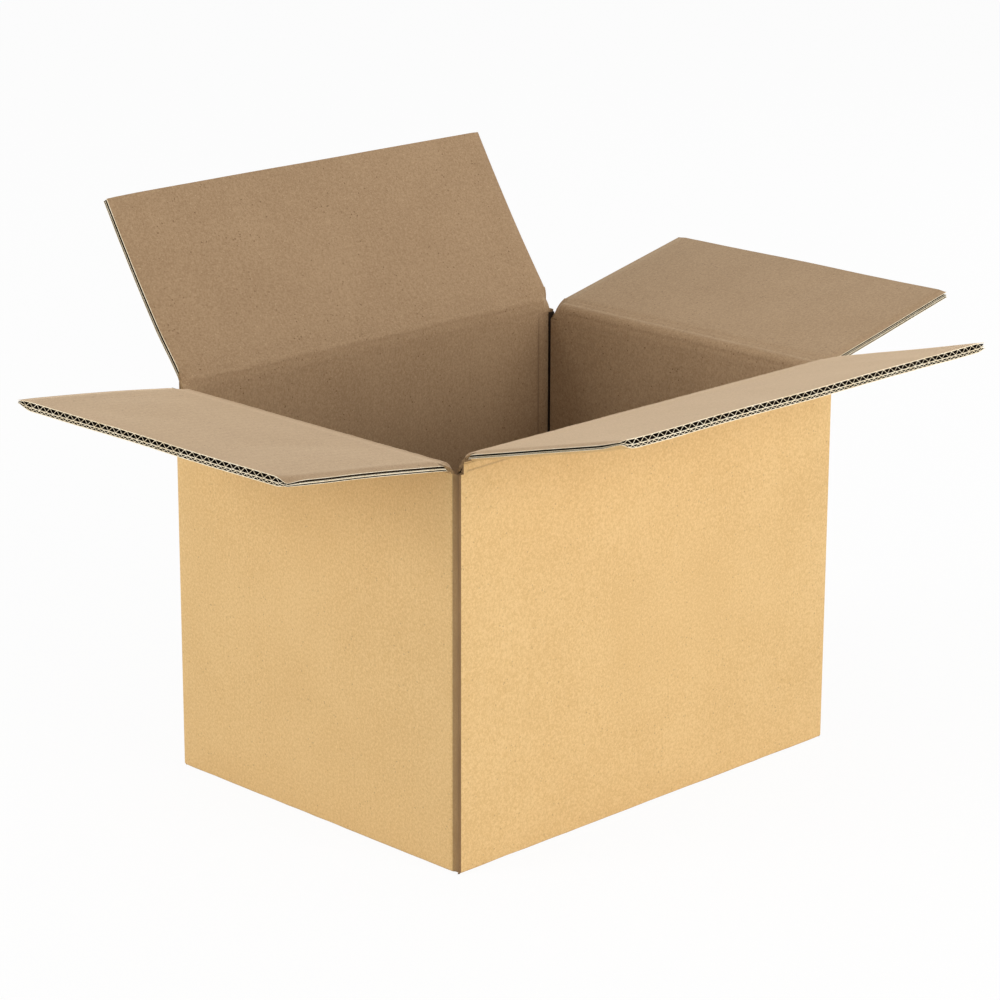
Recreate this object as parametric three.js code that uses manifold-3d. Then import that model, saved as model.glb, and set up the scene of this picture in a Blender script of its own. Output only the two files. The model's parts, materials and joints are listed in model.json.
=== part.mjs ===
// A corrugated bulk box: a regular slotted carton of double-wall board,
// standing with its four top flaps folded outwards. Millimetres, +Z up.
// X runs along the long walls, Y along the end walls. The origin is on the
// ground at the middle of the four walls.

import * as THREE from 'three';
import { mergeVertices } from 'three/addons/utils/BufferGeometryUtils.js';
import Module from 'manifold-3d';

// Driving dimensions: the box
const boxLength = 400;
const boxWidth = 305;
const endFoldHeight = 296;
const cornerRadius = 5;

// Driving dimensions: the double-wall board, from the inside out
const innerLiner = 0.45;
const coarseFluteHeight = 3.5;
const middleLiner = 0.4;
const fineFluteHeight = 2.0;
const outerLiner = 0.45;
const mediumThickness = 0.35;
const coarsePitch = 7.8;
const finePitch = 5.2;

// Driving dimensions: the flaps and their folds
const flapLength = 151;
const slotInset = 5;
const endFlapSideClearance = 0.5;
const closedFlapClearance = 0.5;
const hingeOffset = 0.2;
const mitreClearance = 0.2;
const crushedFold = 12;
const edgeLand = 1.2;
const frontFlapTilt = 75.5;
const backFlapTilt = 33.5;
const leftFlapTilt = 83;
const rightFlapTilt = 77.5;

// Driving dimensions: the glued side joint and the closed bottom
const lapWidth = 35;
const lapThickness = 3.2;
const lapEndTrim = 22;
const jointGap = 2;
const jointFlapTrim = 4;
const bottomSeam = 1.5;
const seamOffset = 3;
const bottomFlapLength = 151;
const bottomSideGap = 1;
const bottomCrease = 1.5;

// Sizes worked out from the driving dimensions
const boardThickness = innerLiner + coarseFluteHeight + middleLiner + fineFluteHeight + outerLiner;
const longFoldHeight = endFoldHeight + boardThickness + closedFlapClearance;
const innerHalfLength = boxLength / 2 - boardThickness;
const innerHalfWidth = boxWidth / 2 - boardThickness;
const longFlapHalf = boxLength / 2 - slotInset;
const endFlapHalf = innerHalfWidth - endFlapSideClearance;
const foldDepth = hingeOffset + boardThickness + mitreClearance;
const endWallTop = endFoldHeight - hingeOffset - mitreClearance;
const longWallTop = longFoldHeight - hingeOffset - mitreClearance;
const cutterReach = 20;
const arcSteps = 5;

const wasm = await Module();
wasm.setup();

// Solids and meshes

function toSolid(geometry) {
  const bare = geometry.clone();
  bare.deleteAttribute('normal');
  bare.deleteAttribute('uv');
  const merged = mergeVertices(bare, 1e-5);
  const vertProperties = new Float32Array(merged.attributes.position.array);
  const triVerts = new Uint32Array(merged.index.array);
  return new wasm.Manifold(new wasm.Mesh({ numProp: 3, vertProperties, triVerts }));
}

function toGeometry(solid) {
  const mesh = solid.getMesh();
  const geometry = new THREE.BufferGeometry();
  geometry.setAttribute('position', new THREE.BufferAttribute(mesh.vertProperties, 3));
  geometry.setIndex(new THREE.BufferAttribute(mesh.triVerts, 1));
  return geometry;
}

function block(low, high) {
  const size = high.map((value, i) => value - low[i]);
  const geometry = new THREE.BoxGeometry(...size);
  geometry.translate(...low.map((value, i) => value + size[i] / 2));
  return toSolid(geometry);
}

// A plan outline in X and Y, raised from one height to another
function raise(shape, bottom, top) {
  const geometry = new THREE.ExtrudeGeometry(shape, {
    depth: top - bottom,
    bevelEnabled: false,
    curveSegments: arcSteps,
  });
  geometry.translate(0, 0, bottom);
  return toSolid(geometry);
}

function polygon(points) {
  return new THREE.Shape(points.map(([x, y]) => new THREE.Vector2(x, y)));
}

// An outline in Y and Z, run along X between two places
function runAlongX(points, from, to) {
  const geometry = new THREE.ExtrudeGeometry(polygon(points), { depth: to - from, bevelEnabled: false });
  geometry.rotateY(Math.PI / 2);
  geometry.rotateX(Math.PI / 2);
  geometry.translate(from, 0, 0);
  return toSolid(geometry);
}

function turned(solid, degrees) {
  const geometry = toGeometry(solid);
  geometry.rotateZ(THREE.MathUtils.degToRad(degrees));
  return toSolid(geometry);
}

// A rectangle about the origin with rounded corners, walked anticlockwise
function roundedRectangle(halfLength, halfWidth, radius) {
  const target = new THREE.Shape();
  const x = halfLength - radius;
  const y = halfWidth - radius;
  const quarter = Math.PI / 2;
  target.moveTo(halfLength, -y);
  target.absarc(x, y, radius, 0, quarter, false);
  target.absarc(-x, y, radius, quarter, 2 * quarter, false);
  target.absarc(-x, -y, radius, 2 * quarter, 3 * quarter, false);
  target.absarc(x, -y, radius, 3 * quarter, 4 * quarter, false);
  return target;
}

// The box: four walls, the glued lap and the closed bottom, folded from one sheet

function wallRing() {
  const outline = roundedRectangle(boxLength / 2, boxWidth / 2, cornerRadius);
  outline.holes.push(polygon([
    [-innerHalfLength, -innerHalfWidth],
    [innerHalfLength, -innerHalfWidth],
    [innerHalfLength, innerHalfWidth],
    [-innerHalfLength, innerHalfWidth],
  ]));
  return raise(outline, 0, longWallTop);
}

// Cuts the end walls and the corner slots down to the end flaps' fold
function endWallCut(side) {
  const outside = boxLength / 2 + cutterReach;
  const slotted = block(
    [side > 0 ? longFlapHalf : -outside, -boxWidth, endWallTop],
    [side > 0 ? outside : -longFlapHalf, boxWidth, longWallTop + cutterReach],
  );
  const between = block(
    [side > 0 ? innerHalfLength - cutterReach : -outside, -innerHalfWidth, endWallTop],
    [side > 0 ? outside : -innerHalfLength + cutterReach, innerHalfWidth, longWallTop + cutterReach],
  );
  return slotted.add(between);
}

// The slope cut on a wall's top edge, which leaves room for its flap to fold in
function mitreCut(halfSpan, wallFace, foldHeight) {
  const outer = -wallFace - hingeOffset;
  const start = foldHeight - mitreClearance;
  const points = [
    [outer, start],
    [outer + foldDepth, start - foldDepth],
    [outer + foldDepth, start + cutterReach],
    [outer, start + cutterReach],
  ];
  return runAlongX(points, -halfSpan, halfSpan);
}

// The lap goes round the far right corner and is glued to the outside of the end wall
function gluedLap() {
  const face = boxLength / 2;
  const outer = face + lapThickness;
  const back = boxWidth / 2;
  const lap = new THREE.Shape();
  lap.moveTo(face - cornerRadius, back - boardThickness / 2);
  lap.lineTo(face - boardThickness / 2, back - lapWidth);
  lap.lineTo(outer - lapThickness / 2, back - lapWidth);
  lap.lineTo(outer, back - lapWidth + lapThickness / 2);
  lap.lineTo(outer, back - cornerRadius);
  lap.absarc(outer - cornerRadius, back - cornerRadius, cornerRadius, 0, Math.PI / 2, false);
  lap.lineTo(face - cornerRadius, back);
  return raise(lap, lapEndTrim, endFoldHeight - lapEndTrim);
}

// The raw edge of the right end wall stops short of the back wall
function jointGapCut() {
  const back = innerHalfWidth;
  const low = [innerHalfLength - cutterReach, back - jointGap, 2 * boardThickness];
  return block(low, [boxLength / 2, back, longWallTop + cutterReach]);
}

// The bottom flaps: two at the ends lie inside, under them two long ones meet in a seam a
// little off the middle
function bottomFlaps() {
  const overlap = boardThickness / 2;
  const level = boardThickness;
  const endHalf = innerHalfWidth + overlap;
  const endReach = boxLength / 2 - bottomFlapLength;
  const leftEnd = block([-innerHalfLength - overlap, -endHalf, level], [-endReach, endHalf, 2 * level]);
  const rightEnd = block([endReach, -endHalf, level], [innerHalfLength + overlap, endHalf, 2 * level]);
  const longHalf = innerHalfLength - bottomSideGap;
  const seam = bottomSeam / 2;
  const front = block([-longHalf, -endHalf, 0], [longHalf, seamOffset - seam, level]);
  const back = block([-longHalf, seamOffset + seam, 0], [longHalf, endHalf, level]);
  return [leftEnd, rightEnd, front, back];
}

// Breaks the sharp bottom edge of one wall where the board is creased
function bottomEdgeCut(halfSpan, wallFace) {
  const points = [
    [-wallFace - cutterReach, bottomCrease + cutterReach],
    [-wallFace - cutterReach, -cutterReach],
    [-wallFace + bottomCrease + cutterReach, -cutterReach],
  ];
  return runAlongX(points, -halfSpan, halfSpan);
}

function boxBody() {
  let body = wallRing();
  body = body.subtract(endWallCut(1)).subtract(endWallCut(-1));
  body = body.add(gluedLap());
  const longMitre = mitreCut(longFlapHalf + cutterReach, boxWidth / 2, longFoldHeight);
  const endMitre = mitreCut(innerHalfWidth, boxLength / 2, endFoldHeight);
  body = body.subtract(longMitre).subtract(turned(longMitre, 180));
  body = body.subtract(turned(endMitre, 90)).subtract(turned(endMitre, -90));
  body = body.subtract(jointGapCut());
  for (const flap of bottomFlaps()) {
    body = body.add(flap);
  }
  const longEdge = bottomEdgeCut(boxLength, boxWidth / 2);
  const endEdge = bottomEdgeCut(boxWidth, boxLength / 2);
  body = body.subtract(longEdge).subtract(turned(longEdge, 180));
  return body.subtract(turned(endEdge, 90)).subtract(turned(endEdge, -90));
}

// The open cells of one fluted layer, seen on the cut edge: one on each side of the
// wavy medium in every pitch
function fluteCells(halfSpan, pitch, inner, height) {
  const cells = [];
  const usable = 2 * (halfSpan - edgeLand);
  const count = Math.floor(usable / pitch);
  const start = -(count * pitch) / 2;
  const margin = mediumThickness * 1.2;
  const base = pitch / 2 - margin;
  const peak = height - mediumThickness;
  for (let i = 0; i < count; i += 1) {
    const low = start + (i + 0.5) * pitch;
    cells.push([[low - base, inner], [low + base, inner], [low, inner + peak]]);
    if (i < count - 1) {
      const high = low + pitch / 2;
      const roof = inner + height;
      cells.push([[high - base, roof], [high, roof - peak], [high + base, roof]]);
    }
  }
  return cells;
}

// A flap stands upright on its fold line, its outer face towards -Y. The fold line is the
// X axis. Its root is cut to a slope and crushed shut, and beyond that the flutes run open
// to the free edge.
function flap(leftReach, rightReach) {
  const outer = hingeOffset;
  const inner = hingeOffset + boardThickness;
  const section = [
    [outer, outer + mitreClearance],
    [inner, inner + mitreClearance],
    [inner, flapLength],
    [outer, flapLength],
  ];
  const board = runAlongX(section, -leftReach, rightReach);
  const centre = (rightReach - leftReach) / 2;
  const halfSpan = (rightReach + leftReach) / 2;
  const fineStart = outer + outerLiner;
  const coarseStart = fineStart + fineFluteHeight + middleLiner;
  const cells = [
    ...fluteCells(halfSpan, finePitch, fineStart, fineFluteHeight),
    ...fluteCells(halfSpan, coarsePitch, coarseStart, coarseFluteHeight),
  ];
  const flutes = raise(
    cells.map((cell) => polygon(cell.map(([x, y]) => [x + centre, y]))),
    crushedFold,
    flapLength + cutterReach,
  );
  return board.subtract(flutes);
}

// Materials: the brown outer liner, and the greyer face of the flaps
const outerKraft = { color: 0xc89d62, roughness: 0.85, metalness: 0 };
const innerKraft = { color: 0xa98764, roughness: 0.9, metalness: 0 };

function part(name, geometry, finish) {
  const mesh = new THREE.Mesh(geometry, new THREE.MeshStandardMaterial(finish));
  mesh.name = name;
  return mesh;
}

// Stands a flap on its fold and tilts it outwards from upright
function onFold(mesh, turn, distance, height, tilt) {
  mesh.position.set(0, -distance - hingeOffset, height);
  mesh.rotation.x = THREE.MathUtils.degToRad(tilt);
  const side = new THREE.Group();
  side.rotation.z = THREE.MathUtils.degToRad(turn);
  side.add(mesh);
  return side;
}

const box = new THREE.Group();
box.add(part('box_body', toGeometry(boxBody()), outerKraft));

const longFlap = () => toGeometry(flap(longFlapHalf, longFlapHalf));
const frontFlap = part('front_long_flap', longFlap(), innerKraft);
const backFlap = part('back_long_flap', longFlap(), innerKraft);
const leftFlap = part('left_end_flap', toGeometry(flap(endFlapHalf, endFlapHalf)), innerKraft);
const rightFlap = part(
  'right_end_flap',
  toGeometry(flap(endFlapHalf, endFlapHalf - jointFlapTrim)),
  innerKraft,
);

box.add(onFold(frontFlap, 0, boxWidth / 2, longFoldHeight, frontFlapTilt));
box.add(onFold(backFlap, 180, boxWidth / 2, longFoldHeight, backFlapTilt));
box.add(onFold(leftFlap, -90, boxLength / 2, endFoldHeight, leftFlapTilt));
box.add(onFold(rightFlap, 90, boxLength / 2, endFoldHeight, rightFlapTilt));

export default box;
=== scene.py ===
import json
import math

import bmesh
import bpy
from mathutils import Matrix, Vector, noise

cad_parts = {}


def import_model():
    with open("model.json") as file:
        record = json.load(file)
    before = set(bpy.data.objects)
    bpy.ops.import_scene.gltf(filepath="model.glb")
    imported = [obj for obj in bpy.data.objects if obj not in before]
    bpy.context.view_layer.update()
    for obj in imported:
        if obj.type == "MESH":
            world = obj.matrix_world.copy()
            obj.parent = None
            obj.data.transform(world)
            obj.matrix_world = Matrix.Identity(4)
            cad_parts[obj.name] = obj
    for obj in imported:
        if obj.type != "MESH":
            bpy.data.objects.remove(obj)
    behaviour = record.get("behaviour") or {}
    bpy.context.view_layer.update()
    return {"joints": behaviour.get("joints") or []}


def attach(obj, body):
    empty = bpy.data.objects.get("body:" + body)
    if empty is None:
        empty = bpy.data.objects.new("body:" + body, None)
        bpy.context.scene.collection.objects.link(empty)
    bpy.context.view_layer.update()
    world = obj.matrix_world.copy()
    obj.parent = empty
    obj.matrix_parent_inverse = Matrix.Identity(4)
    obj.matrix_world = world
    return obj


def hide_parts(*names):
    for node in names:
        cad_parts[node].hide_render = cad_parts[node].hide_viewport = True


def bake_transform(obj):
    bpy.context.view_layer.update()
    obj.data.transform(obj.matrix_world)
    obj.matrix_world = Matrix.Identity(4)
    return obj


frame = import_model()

# Sizes in metres, the same as the part's
MM = 0.001
LENGTH = 400 * MM
WIDTH = 305 * MM
CORNER = 5 * MM
HALF_LENGTH = LENGTH / 2
HALF_WIDTH = WIDTH / 2

# The board's layers from the outside in
OUTER_LINER = 0.45 * MM
FINE_FLUTE = 2.0 * MM
MIDDLE_LINER = 0.4 * MM
COARSE_FLUTE = 3.5 * MM
INNER_LINER = 0.45 * MM
BOARD = OUTER_LINER + FINE_FLUTE + MIDDLE_LINER + COARSE_FLUTE + INNER_LINER
FINE_PITCH = 5.2 * MM
COARSE_PITCH = 7.8 * MM

# The papers as they are drawn, a little thicker than real ones, as the cut edge shows them
MEDIUM = 0.48 * MM
LINER_SEEN = 0.55 * MM

# The flaps and folds
HINGE_OFFSET = 0.2 * MM
MITRE_CLEARANCE = 0.2 * MM
FLAP_LENGTH = 151 * MM
CRUSHED_FOLD = 12 * MM
SLOT_INSET = 5 * MM
LONG_HALF = HALF_LENGTH - SLOT_INSET
END_HALF = HALF_WIDTH - BOARD - 0.5 * MM
JOINT_FLAP_TRIM = 4 * MM
TILTS = {"front": 75.5, "back": 33.5, "left": 83.0, "right": 77.5}
TURNS = {"front": 0, "back": 180, "left": -90, "right": 90}
SPANS = {
    "front": ("front_long_flap", (-LONG_HALF, LONG_HALF)),
    "back": ("back_long_flap", (-LONG_HALF, LONG_HALF)),
    "left": ("left_end_flap", (-END_HALF, END_HALF)),
    "right": ("right_end_flap", (-END_HALF, END_HALF - JOINT_FLAP_TRIM)),
}

# The side joint and the bottom
LAP_WIDTH = 35 * MM
LAP_THICKNESS = 3.2 * MM
LAP_TRIM = 22 * MM
JOINT_GAP = 2 * MM
BOTTOM_FLAP = 151 * MM
BOTTOM_SEAM = 1.5 * MM
SEAM_OFFSET = 3 * MM
BOTTOM_CREASE = 1.5 * MM

joints = {joint["name"]: joint for joint in frame["joints"]}
END_TOP = joints["left_flap_fold"]["pos_m"][2] - HINGE_OFFSET - MITRE_CLEARANCE
LONG_TOP = joints["front_flap_fold"]["pos_m"][2] - HINGE_OFFSET - MITRE_CLEARANCE
INNER_LENGTH = HALF_LENGTH - BOARD
INNER_WIDTH = HALF_WIDTH - BOARD

# Wear on the flaps: the share of the board's thickness that each cut side has lost, and the
# level within the board that it is crushed towards
SIDE_CRUSH = {
    "front": (0.56, 0.3), "back": (0.32, 0.32), "left": (0.3, 0.42), "right": (0.32, 0.32),
}
CRUSH_LEVEL = {
    "front": BOARD * 0.72, "back": BOARD * 0.55, "left": BOARD * 0.55, "right": BOARD * 0.55,
}
CRUSHED_SIDE = 9 * MM
FOLD_CRUSH = 0.16
FLAP_RIPPLE = 0.8 * MM
CORNER_LIFT = 0.8 * MM
LEFT_FLAP_BOW = 0.8 * MM
BACK_FLAP_BOW = 1.8 * MM
BACK_CORNER_CURL = 1.6 * MM

# How finely the slabs are divided
SHEET_CELLS = (90, 26)
FLUTE_ROWS = 14
FINE_POINTS = 8
COARSE_POINTS = 10
CREASE_CELLS = 100
CREASE_STEPS = 30
CROWDING = 1.6
SMOOTH_ANGLE = math.radians(32)


# Meshes: a plate is a flat slab of cells whose corners are then moved to their places

def plate(across, along, place, tags):
    """A slab with corners at (across[i], along[j]) on two sides. place gives each corner's place
    from its two stations and its side, 0 or 1. tags are the materials of side 1, side 0 and the
    rim, except that the rim at the first along station is as side 1."""
    bm = bmesh.new()
    cells_x, cells_y = len(across) - 1, len(along) - 1
    bmesh.ops.create_grid(bm, x_segments=cells_x, y_segments=cells_y, size=1.0)
    bottom = list(bm.verts)
    extruded = bmesh.ops.extrude_face_region(bm, geom=bm.faces[:])
    top = [item for item in extruded["geom"] if isinstance(item, bmesh.types.BMVert)]
    for vert in top:
        vert.co.z = 1.0

    def station(vert):
        return (round((vert.co.x + 1) / 2 * cells_x), round((vert.co.y + 1) / 2 * cells_y))

    side_1, side_0, rim = tags
    uv = bm.loops.layers.uv.new("board")
    for face in bm.faces:
        heights = {round(vert.co.z) for vert in face.verts}
        if len(heights) > 1:
            first_rim = all(station(vert)[1] == 0 for vert in face.verts)
            face.material_index = side_1 if first_rim else rim
        else:
            face.material_index = side_1 if 1 in heights else side_0
        for loop in face.loops:
            i, j = station(loop.vert)
            loop[uv].uv = (across[i], along[j])
    for vert in bottom + top:
        i, j = station(vert)
        vert.co = place(across[i], along[j], round(vert.co.z))
    bmesh.ops.recalc_face_normals(bm, faces=bm.faces[:])
    return bm


def stations(low, high, count):
    return [low + (high - low) * i / count for i in range(count + 1)]


def crowded(low, high, count):
    """Stations that lie closer together towards both ends."""
    steps = []
    for i in range(count + 1):
        t = 2 * i / count - 1
        pulled = math.copysign(1 - (1 - abs(t)) ** CROWDING, t)
        steps.append(low + (high - low) * (pulled + 1) / 2)
    return steps


def piece(name, meshes, body):
    """One object of several slabs, at the origin, riding on its body if it is given one."""
    data = bpy.data.meshes.new(name)
    joined = bmesh.new()
    for bm in meshes:
        bm.to_mesh(data)
        joined.from_mesh(data)
        bm.free()
    joined.to_mesh(data)
    joined.free()
    obj = bpy.data.objects.new(name, data)
    bpy.context.scene.collection.objects.link(obj)
    for material in BOARD_MATERIALS:
        data.materials.append(material)
    data.shade_smooth()
    data.set_sharp_from_angle(angle=SMOOTH_ANGLE)
    if body:
        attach(obj, body)
    return obj


def smoothstep(low, high, value):
    t = min(1.0, max(0.0, (value - low) / (high - low)))
    return t * t * (3 - 2 * t)


def beside(distance, full, none):
    """1 up to one distance from an edge, and 0 from a larger one on."""
    return 1 - smoothstep(full, none, distance)


def pressed(height, level, share):
    """A height, moved towards a level by a share of its distance from it."""
    return level + (height - level) * (1 - share)


# Materials

class Socket:
    """A shader value that can be worked with as a number."""

    def __init__(self, tree, link):
        self.tree = tree
        self.link = link

    def _math(self, operation, a, b):
        return self.tree.add("ShaderNodeMath", {"operation": operation}, [a, b])

    def __add__(self, other):
        return self._math("ADD", self, other)

    def __radd__(self, other):
        return self._math("ADD", other, self)

    def __sub__(self, other):
        return self._math("SUBTRACT", self, other)

    def __rsub__(self, other):
        return self._math("SUBTRACT", other, self)

    def __mul__(self, other):
        return self._math("MULTIPLY", self, other)

    def __rmul__(self, other):
        return self._math("MULTIPLY", other, self)

    def above(self, edge, width):
        """0 below the edge, 1 above it, with a soft step."""
        return self.tree.add("ShaderNodeMapRange", {"interpolation_type": "SMOOTHSTEP"},
                             [self, edge - width, edge + width, 0.0, 1.0])

    def size(self):
        return self._math("ABSOLUTE", self, 0.0)

    def wave(self):
        return self._math("SINE", self, 0.0)


class NodeTree:
    """The nodes of a material or of the world."""

    def __init__(self, owner):
        owner.use_nodes = True
        self.nodes = owner.node_tree.nodes
        self.links = owner.node_tree.links

    def add(self, kind, settings, values, output=0):
        node = self.nodes.new(kind)
        for key, value in settings.items():
            setattr(node, key, value)
        named = values.items() if isinstance(values, dict) else enumerate(values)
        for key, value in named:
            if isinstance(value, Socket):
                self.links.new(value.link, node.inputs[key])
            else:
                node.inputs[key].default_value = value
        return Socket(self, node.outputs[output])

    def seen_directly(self):
        """1 for the rays that show the background: the camera's, mirrored and refracted ones."""
        camera_ray, glossy_ray, refracted_ray = (
            self.add("ShaderNodeLightPath", {}, [], ray)
            for ray in ("Is Camera Ray", "Is Glossy Ray", "Is Transmission Ray")
        )
        return camera_ray + glossy_ray + refracted_ray


class Finish(NodeTree):
    """A material on one Principled shader."""

    def __init__(self, name, roughness):
        self.material = bpy.data.materials.new(name)
        super().__init__(self.material)
        self.shader = self.nodes["Principled BSDF"]
        self.shader.inputs["Roughness"].default_value = roughness
        self.shader.inputs["Specular IOR Level"].default_value = 0.3
        self.place = self.add("ShaderNodeTexCoord", {}, [], "Object")

    def axes(self, source):
        first = self.add("ShaderNodeSeparateXYZ", {}, [source])
        return [Socket(self, output) for output in first.link.node.outputs]

    def stretched(self, scale):
        return self.add("ShaderNodeVectorMath", {"operation": "MULTIPLY"}, [self.place, scale])

    def noise(self, source, scale, detail=3.0, rough=0.55):
        values = {"Vector": source, "Scale": scale, "Detail": detail, "Roughness": rough}
        return self.add("ShaderNodeTexNoise", {}, values)

    def specks(self, scale, size):
        """Round specks of a size that is a share of their spacing."""
        values = {"Vector": self.place, "Scale": scale}
        distance = self.add("ShaderNodeTexVoronoi", {"feature": "F1"}, values, "Distance")
        return 1.0 - distance.above(size, 0.06)

    def blend(self, factor, a, b):
        return self.add("ShaderNodeMix", {"data_type": "RGBA"}, {0: factor, 6: a, 7: b}, 2)

    def colour(self, value):
        self.links.new(value.link, self.shader.inputs["Base Color"])

    def rough(self, value):
        self.links.new(value.link, self.shader.inputs["Roughness"])

    def bump(self, height, strength, distance):
        values = {"Strength": strength, "Distance": distance, "Height": height}
        normal = self.add("ShaderNodeBump", {}, values)
        self.links.new(normal.link, self.shader.inputs["Normal"])


def srgb(red, green, blue):
    """A colour given as it looks on screen, 0 to 255."""
    def linear(value):
        value /= 255
        return value / 12.92 if value <= 0.04045 else ((value + 0.055) / 1.055) ** 2.4
    return (linear(red), linear(green), linear(blue), 1.0)


# Features to a metre in the kraft paper
CLOUD_SCALE = 18.0
MOTTLE_SCALE = 520.0
GRAIN_SCALE = 1250.0
FIBRE_SCALE = (2000.0, 2000.0, 480.0)
STRAY_SCALE = 60.0
DARK_SPECK_SCALE = 240.0
PALE_SPECK_SCALE = 330.0
DARK_SPECK = srgb(110, 82, 54)
PALE_SPECK = srgb(222, 198, 162)
FUZZ_TINT = srgb(255, 232, 200)

# The marks on the outer paper: painted shade, mixed with the crushed fibres' darker brown, in the
# recessed band beside the near corner, and painted shade along a short crease at the front wall's
# top left, which rises to the right
CORNER_SHADE_AND_WEAR_BROWN = srgb(118, 90, 58)
CORNER_BAND_DEPTH = 2.4 * MM
CORNER_BAND_WIDTH = 6.9 * MM
CREASE_SHADE_BROWN = srgb(120, 90, 55)
CREASE_START, CREASE_END = 192.5 * MM, 135 * MM
CREASE_LEVEL = 297.425 * MM
CREASE_RISE = 0.03

# Painted shade in the score groove inside the back wall, where the joint's crushed strip begins
SCORE_SHADE_BROWN = srgb(84, 60, 38)
SCORE_FROM, SCORE_TO = 181.2 * MM, 183.0 * MM
SCORE_TOP = 290 * MM


# Painted shade of the recessed, crushed band beside the near corner, mixed with the crushed
# board's own darker brown
def shaded_worn_corner(finish, colour):
    x, y, _ = finish.axes(finish.place)
    on_end_wall = (0.0 - x).above(HALF_LENGTH - CORNER_BAND_DEPTH, 0.3 * MM)
    inward_mm = (0.0 - y) * 1000.0 - (HALF_WIDTH - CORNER_BAND_WIDTH) * 1000.0
    patches = finish.noise(finish.stretched((1.0, 1.0, 0.25)), 160.0) * 0.2
    shade_and_wear = (patches + inward_mm * 0.04 + 0.6) * inward_mm.above(0.0, 0.5)
    return finish.blend(on_end_wall * shade_and_wear, colour, CORNER_SHADE_AND_WEAR_BROWN)


# Painted shade: a soft brown line where a short crease buckles the front wall's top left
def short_crease_shade(finish, colour):
    x, y, z = finish.axes(finish.place)
    off_line = z - (x + CREASE_START) * CREASE_RISE - CREASE_LEVEL
    line = 1.0 - off_line.size().above(0.6 * MM, 0.8 * MM)
    span = (x + CREASE_START).above(0.0, 2 * MM) * (1.0 - (x + CREASE_END).above(0.0, 12 * MM))
    on_front_wall = (0.0 - y).above(HALF_WIDTH - 3 * MM, 1 * MM)
    return finish.blend(line * span * on_front_wall * 0.4, colour, CREASE_SHADE_BROWN)


# Painted shade: a dark line in the score groove inside the back wall
def joint_score_shade(finish, colour):
    x, y, z = finish.axes(finish.place)
    score = x.above(SCORE_FROM, 0.4 * MM) * (1.0 - x.above(SCORE_TO, 0.8 * MM))
    on_liner = y.above(INNER_WIDTH - 1.2 * MM, 0.3 * MM)
    on_liner = on_liner * (1.0 - y.above(INNER_WIDTH + 4.3 * MM, 0.5 * MM))
    below_fold = 1.0 - z.above(SCORE_TOP, 3 * MM)
    return finish.blend(score * on_liner * below_fold * 0.35, colour, SCORE_SHADE_BROWN)


def paper(name, base, light, dark, specks, flute_strength, roughness, fuzz, marks):
    """Kraft paper: clouds, a fine grain, short fibres, a few specks, faint flutes and marks."""
    finish = Finish(name, roughness)
    finish.shader.inputs["Sheen Weight"].default_value = fuzz
    finish.shader.inputs["Sheen Roughness"].default_value = 0.35
    finish.shader.inputs["Sheen Tint"].default_value = FUZZ_TINT
    across, _, _ = finish.axes(finish.add("ShaderNodeUVMap", {"uv_map": "board"}, []))
    clouds = finish.noise(finish.place, CLOUD_SCALE)
    mottle = finish.noise(finish.place, MOTTLE_SCALE, 2.0, 0.6)
    grain = finish.noise(finish.place, GRAIN_SCALE, 2.0, 0.7)
    fibres = finish.noise(finish.stretched(FIBRE_SCALE), 1.0, 1.0)
    tone = clouds * 0.1 + mottle * 0.35 + grain * 0.3 + fibres * 0.25
    colour = finish.blend(tone.above(0.5, 0.1), dark, light)
    colour = finish.blend(0.3, colour, base)
    flutes = (across * (2 * math.pi / COARSE_PITCH)).wave()
    colour = finish.blend((flutes * 0.5 + 0.5) * flute_strength, colour, dark)
    strays = finish.noise(finish.place, STRAY_SCALE, 1.0).above(0.55, 0.08)
    dark_specks = finish.specks(DARK_SPECK_SCALE, 0.15)
    colour = finish.blend(dark_specks * strays * specks, colour, DARK_SPECK)
    pale_specks = finish.specks(PALE_SPECK_SCALE, 0.12)
    colour = finish.blend(pale_specks * (1.0 - strays) * (specks * 0.5), colour, PALE_SPECK)
    for mark in marks:
        colour = mark(finish, colour)
    finish.colour(colour)
    finish.rough(mottle * 0.12 + (roughness - 0.06))
    finish.bump(fibres * 0.4 + mottle * 0.4 + flutes * 0.4, 0.3, 0.12 * MM)
    return finish.material


def cut_paper(name, base, dark):
    """The cut edges and the wavy mediums: rough and a little uneven."""
    finish = Finish(name, 0.95)
    mottle = finish.noise(finish.place, 700.0, 3.0, 0.7)
    patches = finish.noise(finish.place, 90.0, 2.0)
    tone = mottle * 0.6 + patches * 0.4
    finish.colour(finish.blend(tone.above(0.5, 0.22), dark, base))
    finish.bump(mottle, 0.35, 0.2 * MM)
    return finish.material


outer_paper = paper(
    "outer_kraft", srgb(212, 178, 122), srgb(225, 192, 138), srgb(198, 161, 105),
    specks=0.35, flute_strength=0.06, roughness=0.75, fuzz=0.0,
    marks=(shaded_worn_corner, short_crease_shade, joint_score_shade),
)
inner_paper = paper(
    "inner_kraft", srgb(165, 136, 103), srgb(181, 152, 118), srgb(148, 119, 87),
    specks=0.8, flute_strength=0.05, roughness=0.8, fuzz=0.5, marks=(joint_score_shade,),
)
cut_edge = cut_paper("cut_edge", srgb(250, 240, 216), srgb(222, 200, 160))
# Painted shade: the wavy mediums and the board's hidden inner faces are coloured a near-black
# brown, as kraft paper looks deep in the flutes' shadow
deep_shade_paper = cut_paper("fluted_medium", srgb(58, 42, 26), srgb(38, 26, 16))
crushed_edge = cut_paper("crushed_edge", srgb(168, 138, 98), srgb(92, 68, 42))
BOARD_MATERIALS = [outer_paper, inner_paper, cut_edge, deep_shade_paper, crushed_edge]
OUTER, INNER, EDGE, DEEP_SHADE, CRUSHED = range(5)


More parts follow.
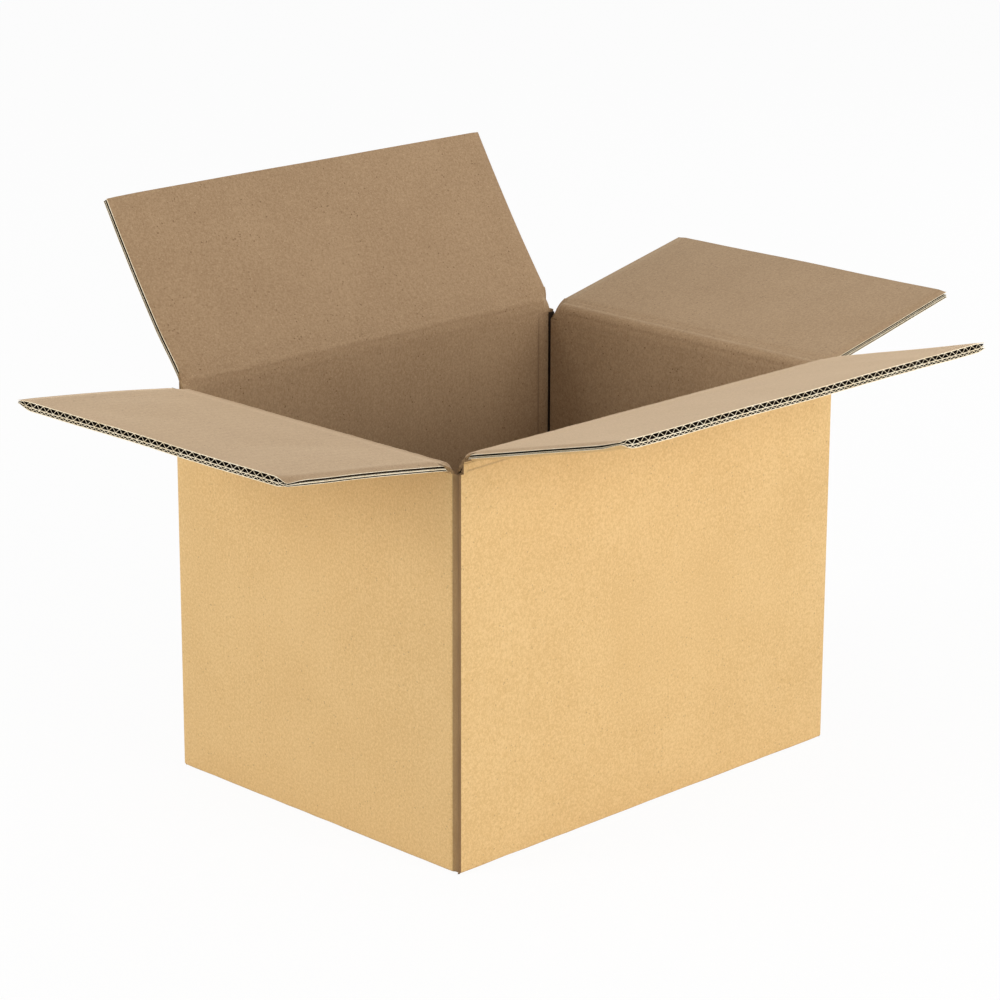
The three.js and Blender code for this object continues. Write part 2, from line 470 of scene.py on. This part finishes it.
# The four top flaps: five sheets each, the fluted ones wavy, in the part's own layers

def flap_place(side):
    """Two turns that bring a point from a flap's own frame to the box: to its wall, and its tilt.
    In that frame X runs along the fold, Y from the outer face inwards and Z from the fold to the
    free edge."""
    hinge = Vector(joints[side + "_flap_fold"]["pos_m"])
    wall = Matrix.Translation(hinge) @ Matrix.Rotation(math.radians(TURNS[side]), 4, "Z")
    return wall, Matrix.Rotation(math.radians(TILTS[side]), 4, "X")


def bent(side, x, y, z):
    """The wear that the flap shows: crushed folds and cut sides, lifted corners, soft bends. Long
    flaps only bend outwards and end flaps inwards, so that they still shut over each other."""
    low, high = SPANS[side][1]
    free = z / FLAP_LENGTH
    rise = (y - HINGE_OFFSET) * (1 - FOLD_CRUSH * beside(z, 2 * MM, CRUSHED_FOLD))
    low_crush, high_crush = SIDE_CRUSH[side]
    crush = low_crush * beside(x - low, 0.0, CRUSHED_SIDE)
    crush += high_crush * beside(high - x, 0.0, CRUSHED_SIDE)
    rise = pressed(rise, CRUSH_LEVEL[side], crush)
    ripple = noise.noise(Vector((x * 14, z * 9, 3.7 * len(side)))) * FLAP_RIPPLE
    away = -1 if side in ("front", "back") else 1
    rise += away * abs(ripple) * smoothstep(10 * MM, 60 * MM, z)
    if side == "front":
        corner = beside(x - low, 3 * MM, 15 * MM) * smoothstep(0.88, 1.0, free)
        rise = pressed(rise, BOARD * 0.8, 0.3 * corner) + CORNER_LIFT * corner
    if side == "left":
        corner = beside(high - x, 1 * MM, 14 * MM) * smoothstep(0.9, 1.0, free)
        rise = pressed(rise, BOARD * 0.4, 0.4 * corner)
        tip = beside(x - low, 0.0, 16 * MM) * smoothstep(0.9, 1.0, free)
        rise = pressed(rise, BOARD * 0.8, 0.5 * tip)
        rise += LEFT_FLAP_BOW * math.sin(math.pi * min(1.0, free))
    if side == "back":
        rise -= BACK_FLAP_BOW * math.sin(math.pi * free)
        curl = beside(high - x, 0.0, 60 * MM) * smoothstep(0.05, 0.3, free)
        rise -= BACK_CORNER_CURL * curl
    return x, HINGE_OFFSET + rise, z


def sheet_slab(side, span, y_low, thickness, tags):
    wall, tilt = flap_place(side)

    def place(x, z, face):
        y = y_low + thickness * face
        start = y + MITRE_CLEARANCE
        length = start + (FLAP_LENGTH - start) * z
        return wall @ tilt @ Vector(bent(side, x, y, length))

    cells_x, cells_z = SHEET_CELLS
    return plate(crowded(*span, cells_x), crowded(0.0, 1.0, cells_z), place, tags)


def wave_shape(phase):
    """A flute's rounded zigzag, 0 to 1, for a phase counted in pitches."""
    swing = math.sin(2 * math.pi * phase)
    return 0.5 + 0.5 * math.asin(0.94 * swing) / math.asin(0.94)


def fluted_slab(side, span, y_low, height, pitch, points, shift):
    wall, tilt = flap_place(side)
    inset, setback = 0.4 * MM, 0.2 * MM
    low, high = span
    count = round((high - low) / pitch * points)

    def place(x, z, face):
        jitter = noise.noise(Vector((x * 60, shift, 0.0))) * 0.07
        wave = wave_shape(x / pitch + jitter + shift)
        y = y_low + (MEDIUM if face else 0.0) + (height - MEDIUM) * wave
        start = y + MITRE_CLEARANCE
        length = start + (FLAP_LENGTH - setback - start) * z
        return wall @ tilt @ Vector(bent(side, x, y, length))

    return plate(stations(low + inset, high - inset, count), crowded(0.0, 1.0, FLUTE_ROWS), place,
                 (DEEP_SHADE, DEEP_SHADE, EDGE))


def top_flap(side, node, span):
    fine = HINGE_OFFSET + OUTER_LINER
    middle = fine + FINE_FLUTE
    coarse = middle + MIDDLE_LINER
    inner = coarse + COARSE_FLUTE + INNER_LINER - LINER_SEEN
    slabs = [
        sheet_slab(side, span, HINGE_OFFSET, LINER_SEEN, (DEEP_SHADE, OUTER, EDGE)),
        fluted_slab(side, span, fine, FINE_FLUTE, FINE_PITCH, FINE_POINTS, 0.31),
        sheet_slab(side, span, middle, LINER_SEEN, (DEEP_SHADE, DEEP_SHADE, EDGE)),
        fluted_slab(side, span, coarse, COARSE_FLUTE, COARSE_PITCH, COARSE_POINTS, 0.12),
        sheet_slab(side, span, inner, LINER_SEEN, (INNER, DEEP_SHADE, EDGE)),
    ]
    flap = piece(node + "_board", slabs, side + "_flap")
    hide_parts(node)


for side, (node, span) in SPANS.items():
    top_flap(side, node, span)


# The crushed fold between each flap and its wall

def crease_path(tilt):
    """The fold's section at rest, from the wall to the flap: places of the inner liner and of the
    outer one, in the flap's frame before it is tilted."""
    deep = HINGE_OFFSET + BOARD
    reach = deep + MITRE_CLEARANCE
    corner = math.atan2(reach, deep)
    turn = math.radians(tilt)
    pairs = [((deep - 0.02 * MM, -reach - 2 * MM), (HINGE_OFFSET + 1 * MM, -3 * MM))]
    for i in range(CREASE_STEPS + 1):
        share = i / CREASE_STEPS
        angle = -corner + (turn + 2 * corner) * share
        straight = max(0.0, -angle, angle - turn)
        crush = 1 - 0.09 * smoothstep(0.0, 0.9, 1 - straight / corner)
        crush -= 0.07 * smoothstep(0.3, 1.0, share) * smoothstep(0.0, 0.5, straight)
        radius = deep / math.cos(straight) * crush
        inner = (radius * math.cos(angle), radius * math.sin(angle))
        edge = HINGE_OFFSET + 1.2 * MM * smoothstep(0.5, 1.0, abs(2 * share - 1))
        outer = (edge * math.cos(angle), edge * math.sin(angle))
        pairs.append((inner, outer))

    def on_flap(y, z):
        return (y * math.cos(turn) - z * math.sin(turn), y * math.sin(turn) + z * math.cos(turn))

    inner, outer = on_flap(deep * 0.93, reach + 1.5 * MM), on_flap(HINGE_OFFSET + 1 * MM, 3 * MM)
    return pairs + [(inner, outer)]


def fold_crease(side, node, span):
    wall, _ = flap_place(side)
    pairs = crease_path(TILTS[side])
    low, high = span

    def place(x, s, face):
        inner, outer = pairs[round(s * (len(pairs) - 1))]
        middle = math.sin(math.pi * s)
        share, dent = 0.0, 0.0
        if face:
            share = 1 - 0.65 * beside(min(x - low, high - x), 0.0, 8 * MM) * middle ** 0.6
            dent = noise.noise(Vector((x * 150, s * 4, len(side)))) * 0.3 * MM * middle ** 2
        y, z = (b + (a - b) * share for a, b in zip(inner, outer))
        size = math.hypot(y, z)
        return wall @ Vector((x, y - dent * y / size, z - dent * z / size))

    bm = plate(crowded(low, high, CREASE_CELLS), stations(0.0, 1.0, len(pairs) - 1), place,
               (INNER, OUTER, CRUSHED))
    crease = piece(node + "_crease", [bm], None)
    tilt = math.radians(TILTS[side])
    deep = HINGE_OFFSET + BOARD
    beyond = deep * 0.4
    start = wall @ Vector((0, deep, -beyond))
    end = wall @ Vector((0, deep * math.cos(tilt) - beyond * math.sin(tilt),
                         deep * math.sin(tilt) + beyond * math.cos(tilt)))
    side + "_flap"
    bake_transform(crease)


for side, (node, span) in SPANS.items():
    fold_crease(side, node, span)


# The walls: one strip of board walked round the box, from the joint to the raw edge. A creased
# corner in plan, in mm back from the two outer faces, as outer and inner places

NEAR_CORNER = [
    ((0.0, 8.5), (6.8, 9.5)), ((0.3, 7.4), (6.8, 8.6)), ((1.0, 6.5), (6.8, 8.0)),
    ((1.25, 5.2), (6.8, 7.6)), ((1.25, 3.2), (6.85, 7.3)), ((0.9, 1.7), (6.95, 7.1)),
    ((0.4, 0.7), (7.05, 7.0)), ((0.35, 0.15), (7.3, 6.9)), ((1.1, 0.0), (7.7, 6.8)),
    ((3.0, 0.1), (8.4, 6.8)), ((6.0, 0.0), (9.2, 6.8)), ((10.0, 0.0), (11.0, 6.8)),
]
PLAIN_CORNER = [
    ((0.0, 8.5), (6.8, 9.5)), ((0.1, 5.0), (6.8, 8.2)), ((0.25, 2.4), (6.85, 7.4)),
    ((0.6, 1.1), (7.0, 7.0)), ((1.2, 0.5), (7.4, 6.85)), ((2.6, 0.2), (8.2, 6.8)),
    ((5.0, 0.1), (9.0, 6.8)), ((10.0, 0.0), (11.0, 6.8)),
]

# The crushed strip of the back wall before the joint: how far along it lies, in mm, and how far
# its outer and inner faces are pressed in
JOINT_STRIP = [
    ((199.8, 0.0), (199.3, 0.6)), ((196.5, 0.0), (195.0, 0.6)), ((193.0, 0.0), (191.0, 0.7)),
    ((187.0, 0.0), (185.5, 0.6)), ((183.0, 0.0), (182.0, 0.7)), ((182.0, 0.0), (181.0, 0.2)),
    ((181.0, 0.0), (180.0, 0.0)),
]
WALL_BULGE = 0.8 * MM
FRAYED_EDGE = 0.5 * MM


def corner_pairs(sign_x, sign_y, first_is_end):
    """A creased corner, from the end wall to the long wall or back: outer and inner places. At the
    near corner the board is crushed in on the end wall's side."""
    pairs = []
    for places in NEAR_CORNER if sign_x < 0 and sign_y < 0 else PLAIN_CORNER:
        pairs.append(tuple(
            (sign_x * (HALF_LENGTH - back * MM), sign_y * (HALF_WIDTH - down * MM))
            for back, down in places
        ))
    return pairs if first_is_end else pairs[::-1]


def straight_pairs(outer_from, outer_to, inner_from, inner_to, count):
    pairs = []
    for i in range(count + 1):
        t = i / count
        outer = tuple(a + (b - a) * t for a, b in zip(outer_from, outer_to))
        inner = tuple(a + (b - a) * t for a, b in zip(inner_from, inner_to))
        pairs.append((outer, inner))
    return pairs


def wall_path():
    """Pairs of outer and inner places in plan, all round the box."""
    face = HALF_LENGTH
    side_end, long_end = HALF_WIDTH - 14 * MM, HALF_LENGTH - 15 * MM
    pairs = [
        ((outer_x * MM, HALF_WIDTH - dip * MM), (inner_x * MM, INNER_WIDTH + hollow * MM))
        for (outer_x, dip), (inner_x, hollow) in JOINT_STRIP
    ]
    pairs += straight_pairs((175 * MM, HALF_WIDTH), (-long_end, HALF_WIDTH),
                            (174 * MM, INNER_WIDTH), (-long_end, INNER_WIDTH), 30)
    pairs += corner_pairs(-1, 1, False)
    pairs += straight_pairs((-face, side_end), (-face, -side_end),
                            (-INNER_LENGTH, side_end), (-INNER_LENGTH, -side_end), 26)
    pairs += corner_pairs(-1, -1, True)
    pairs += straight_pairs((-long_end, -HALF_WIDTH), (long_end, -HALF_WIDTH),
                            (-long_end, -INNER_WIDTH), (long_end, -INNER_WIDTH), 34)
    pairs += corner_pairs(1, -1, False)
    raw = INNER_WIDTH - JOINT_GAP - 0.5 * MM
    pairs += straight_pairs((face, -side_end), (face, raw),
                            (INNER_LENGTH, -side_end), (INNER_LENGTH, raw), 26)
    return pairs


def sheet_distance(pairs):
    """How far along the board each pair lies, for the paper's own pattern."""
    distance, total = [0.0], 0.0
    for (outer, _), (after, _) in zip(pairs, pairs[1:]):
        total += math.dist(outer, after)
        distance.append(total)
    return distance


def walls():
    pairs = wall_path()
    distance = sheet_distance(pairs)
    index = {value: i for i, value in enumerate(distance)}
    levels = [0.0, BOTTOM_CREASE, 4 * MM, 10 * MM] + stations(20 * MM, END_TOP - 20 * MM, 22)
    levels += [END_TOP - 12 * MM, END_TOP - 6 * MM, END_TOP]

    def place(s, z, face):
        outer, inner = pairs[index[s]]
        on_end = abs(outer[1]) < HALF_WIDTH - 0.5 * MM
        if not face:
            return Vector((*inner, z * (END_TOP - BOARD) / END_TOP if on_end else z))
        x, y = outer
        middle = math.sin(math.pi * min(1.0, z / END_TOP))
        inset = HALF_WIDTH - abs(y) if on_end else HALF_LENGTH - abs(x)
        bulge = noise.noise(Vector((x * 5, y * 5, z * 4))) * WALL_BULGE
        bulge *= middle * smoothstep(8 * MM, 60 * MM, inset)
        if z < BOTTOM_CREASE / 2:
            bulge -= BOTTOM_CREASE
            z += FRAYED_EDGE * abs(noise.noise(Vector((x * 30, y * 30, 0.0))))
        if on_end:
            return Vector((x + math.copysign(1, x) * bulge, y, z))
        return Vector((x, y + math.copysign(1, y) * bulge, z))

    return plate(distance, levels, place, (OUTER, INNER, CRUSHED))


def long_wall_top(sign):
    """The stretch of a long wall that stands above the end walls, under its flap's fold. It stands
    a paper's skin proud of the wall below, so that no two faces share a place."""
    skin, overlap = 0.04 * MM, 0.5 * MM

    def place(x, t, face):
        end = beside(LONG_HALF - abs(x), 0.0, 8 * MM)
        y = HALF_WIDTH + skin if face else INNER_WIDTH - skin + 3.6 * MM * end * t
        high = LONG_TOP if face else LONG_TOP - BOARD
        z = END_TOP - overlap + (high - END_TOP + overlap) * t
        return Vector((x, sign * y, z))

    return plate(crowded(-LONG_HALF, LONG_HALF, 60), stations(0.0, 1.0, 3), place,
                 (OUTER, INNER, CRUSHED))


def glued_lap():
    """The lap of the side joint, crushed thin and glued to the outside of the right end wall. Its
    glued side is sunk a little into the wall."""
    face, lap = HALF_LENGTH, HALF_LENGTH + LAP_THICKNESS
    glue = face - 0.3 * MM
    root, end = INNER_WIDTH + 1 * MM, HALF_WIDTH - LAP_WIDTH
    path = [
        ((face - 9 * MM, HALF_WIDTH - 0.4 * MM), (face - 9 * MM, root)),
        ((face - 6 * MM, HALF_WIDTH + 0.06 * MM), (face - 6 * MM, root)),
        ((lap - CORNER, HALF_WIDTH + 0.05 * MM), (face - 3 * MM, root)),
        ((lap - CORNER * 0.62, HALF_WIDTH - 0.5 * MM), (face - 0.4 * MM, INNER_WIDTH)),
        ((lap - CORNER * 0.29, HALF_WIDTH - CORNER * 0.29), (glue, INNER_WIDTH - 1 * MM)),
        ((lap, HALF_WIDTH - CORNER), (glue, INNER_WIDTH - 2 * MM)),
        ((lap, HALF_WIDTH - 12 * MM), (glue, HALF_WIDTH - 12 * MM)),
        ((lap, end + 1.5 * MM), (glue, end + 1.5 * MM)),
        ((lap - 1.4 * MM, end), (glue, end)),
    ]

    def place(s, z, is_outer):
        outer, inner = path[round(s * (len(path) - 1))]
        return Vector((*(outer if is_outer else inner), z))

    return plate(stations(0.0, 1.0, len(path) - 1), stations(LAP_TRIM, END_TOP - LAP_TRIM, 6),
                 place, (OUTER, INNER, EDGE))


def joint_shade():
    """A dark sheet of painted shade deep in the gap of the side joint, in the colour of its shaded
    fluting.
    """
    def place(x, z, face):
        return Vector((x, INNER_WIDTH - (0.15 * MM if face else -0.9 * MM), z))

    return plate(stations(INNER_LENGTH + 0.3 * MM, HALF_LENGTH - 0.4 * MM, 3),
                 stations(2 * BOARD, END_TOP - 2 * MM, 4), place, (DEEP_SHADE, DEEP_SHADE, DEEP_SHADE))


def bottom_board(low, high, z_low):
    """A closed bottom flap as a slab with its inner liner up."""
    def place(x, y, face):
        return Vector((x, y, z_low + BOARD if face else z_low))

    return plate(stations(low[0], high[0], 20), stations(low[1], high[1], 10), place,
                 (INNER, OUTER, EDGE))


def box_shell():
    reach = HALF_LENGTH - BOTTOM_FLAP
    seam_low = SEAM_OFFSET - BOTTOM_SEAM / 2
    seam_high = SEAM_OFFSET + BOTTOM_SEAM / 2
    long_x, long_y = INNER_LENGTH - 1 * MM, HALF_WIDTH - 3 * MM
    end_x = INNER_LENGTH + 1 * MM
    slabs = [
        walls(),
        long_wall_top(1),
        long_wall_top(-1),
        glued_lap(),
        joint_shade(),
        bottom_board((-long_x, -long_y), (long_x, seam_low), 0.0),
        bottom_board((-long_x, seam_high), (long_x, long_y), 0.0),
        bottom_board((-end_x, -INNER_WIDTH), (-reach, INNER_WIDTH), BOARD),
        bottom_board((reach, -INNER_WIDTH), (end_x, INNER_WIDTH), BOARD),
    ]
    shell = piece("box_shell", slabs, "box")
    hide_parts("box_body")


box_shell()


# The stage: a plain pale floor, soft lamps and the camera at the photograph's angle

WHITE = (1.0, 1.0, 1.0, 1.0)
FLOOR_COLOUR = (0.9, 0.9, 0.9, 1.0)
FLOOR_WHITENESS = 0.93
FLOOR_SIZE = 8.0
WORLD_STRENGTH = 0.6
LAMP_SIZE = 1.6
LAMP_TARGET = Vector((0.0, 0.0, 0.2))
SENSOR = 36.0
FOCAL_PIXELS = 3393.4
FRAME_PIXELS = 1000.0
CAMERA_PLACE = (-1.7574, -1.7556, 0.9468)
CAMERA_AZIMUTH, CAMERA_ELEVATION, CAMERA_ROLL = (math.radians(a) for a in (-44.9, 16.65, 0.19))


def floor():
    """Nearly white wherever the background shows, with the object's own shadow left on it."""
    bm = bmesh.new()
    bmesh.ops.create_grid(bm, x_segments=1, y_segments=1, size=FLOOR_SIZE)
    data = bpy.data.meshes.new("floor")
    bm.to_mesh(data)
    bm.free()
    obj = bpy.data.objects.new("floor", data)
    bpy.context.scene.collection.objects.link(obj)
    finish = Finish("pale_floor", 0.9)
    finish.shader.inputs["Base Color"].default_value = FLOOR_COLOUR
    plain = Socket(finish, finish.shader.outputs[0])
    white = finish.add("ShaderNodeEmission", {}, [WHITE, 1.0])
    values = {0: finish.seen_directly() * FLOOR_WHITENESS, 1: plain, 2: white}
    mixed = finish.add("ShaderNodeMixShader", {}, values)
    finish.links.new(mixed.link, finish.nodes["Material Output"].inputs["Surface"])
    data.materials.append(finish.material)


def world():
    """White where it is seen, and at a plain level where it lights the object."""
    scene = bpy.context.scene
    scene.world = scene.world or bpy.data.worlds.new("studio")
    sky = NodeTree(scene.world)
    background = sky.nodes["Background"]
    background.inputs["Color"].default_value = WHITE
    values = {0: sky.seen_directly(), 2: WORLD_STRENGTH, 3: 1.0}
    strength = sky.add("ShaderNodeMix", {"data_type": "FLOAT"}, values)
    sky.links.new(strength.link, background.inputs["Strength"])


def lamp(name, place, power):
    light = bpy.data.lights.new(name, "AREA")
    light.shape = "DISK"
    light.size = LAMP_SIZE
    light.energy = power
    obj = bpy.data.objects.new(name, light)
    obj.location = place
    aim = LAMP_TARGET - Vector(place)
    obj.rotation_euler = aim.to_track_quat("-Z", "Y").to_euler()
    bpy.context.scene.collection.objects.link(obj)


def camera():
    """The photograph's camera: far off, 45 degrees round to the left and 17 degrees up."""
    data = bpy.data.cameras.new("camera")
    data.sensor_width = SENSOR
    data.lens = SENSOR * FOCAL_PIXELS / FRAME_PIXELS
    data.clip_start = 0.1
    obj = bpy.data.objects.new("camera", data)
    level = math.cos(CAMERA_ELEVATION)
    back = Vector((math.sin(CAMERA_AZIMUTH) * level, -math.cos(CAMERA_AZIMUTH) * level,
                   math.sin(CAMERA_ELEVATION)))
    look = (-back).to_track_quat("-Z", "Y").to_matrix().to_4x4()
    place = Matrix.Translation(Vector(CAMERA_PLACE))
    obj.matrix_world = place @ look @ Matrix.Rotation(CAMERA_ROLL, 4, "Z")
    bpy.context.scene.collection.objects.link(obj)
    bpy.context.scene.camera = obj


floor()
world()
lamp("front_lamp", (0.3, -2.8, 1.0), 43.0)
lamp("side_lamp", (-2.7, 1.2, 1.2), 39.0)
lamp("right_lamp", (2.8, 0.1, 1.2), 12.0)
camera()
bpy.context.scene.view_settings.view_transform = "Standard"
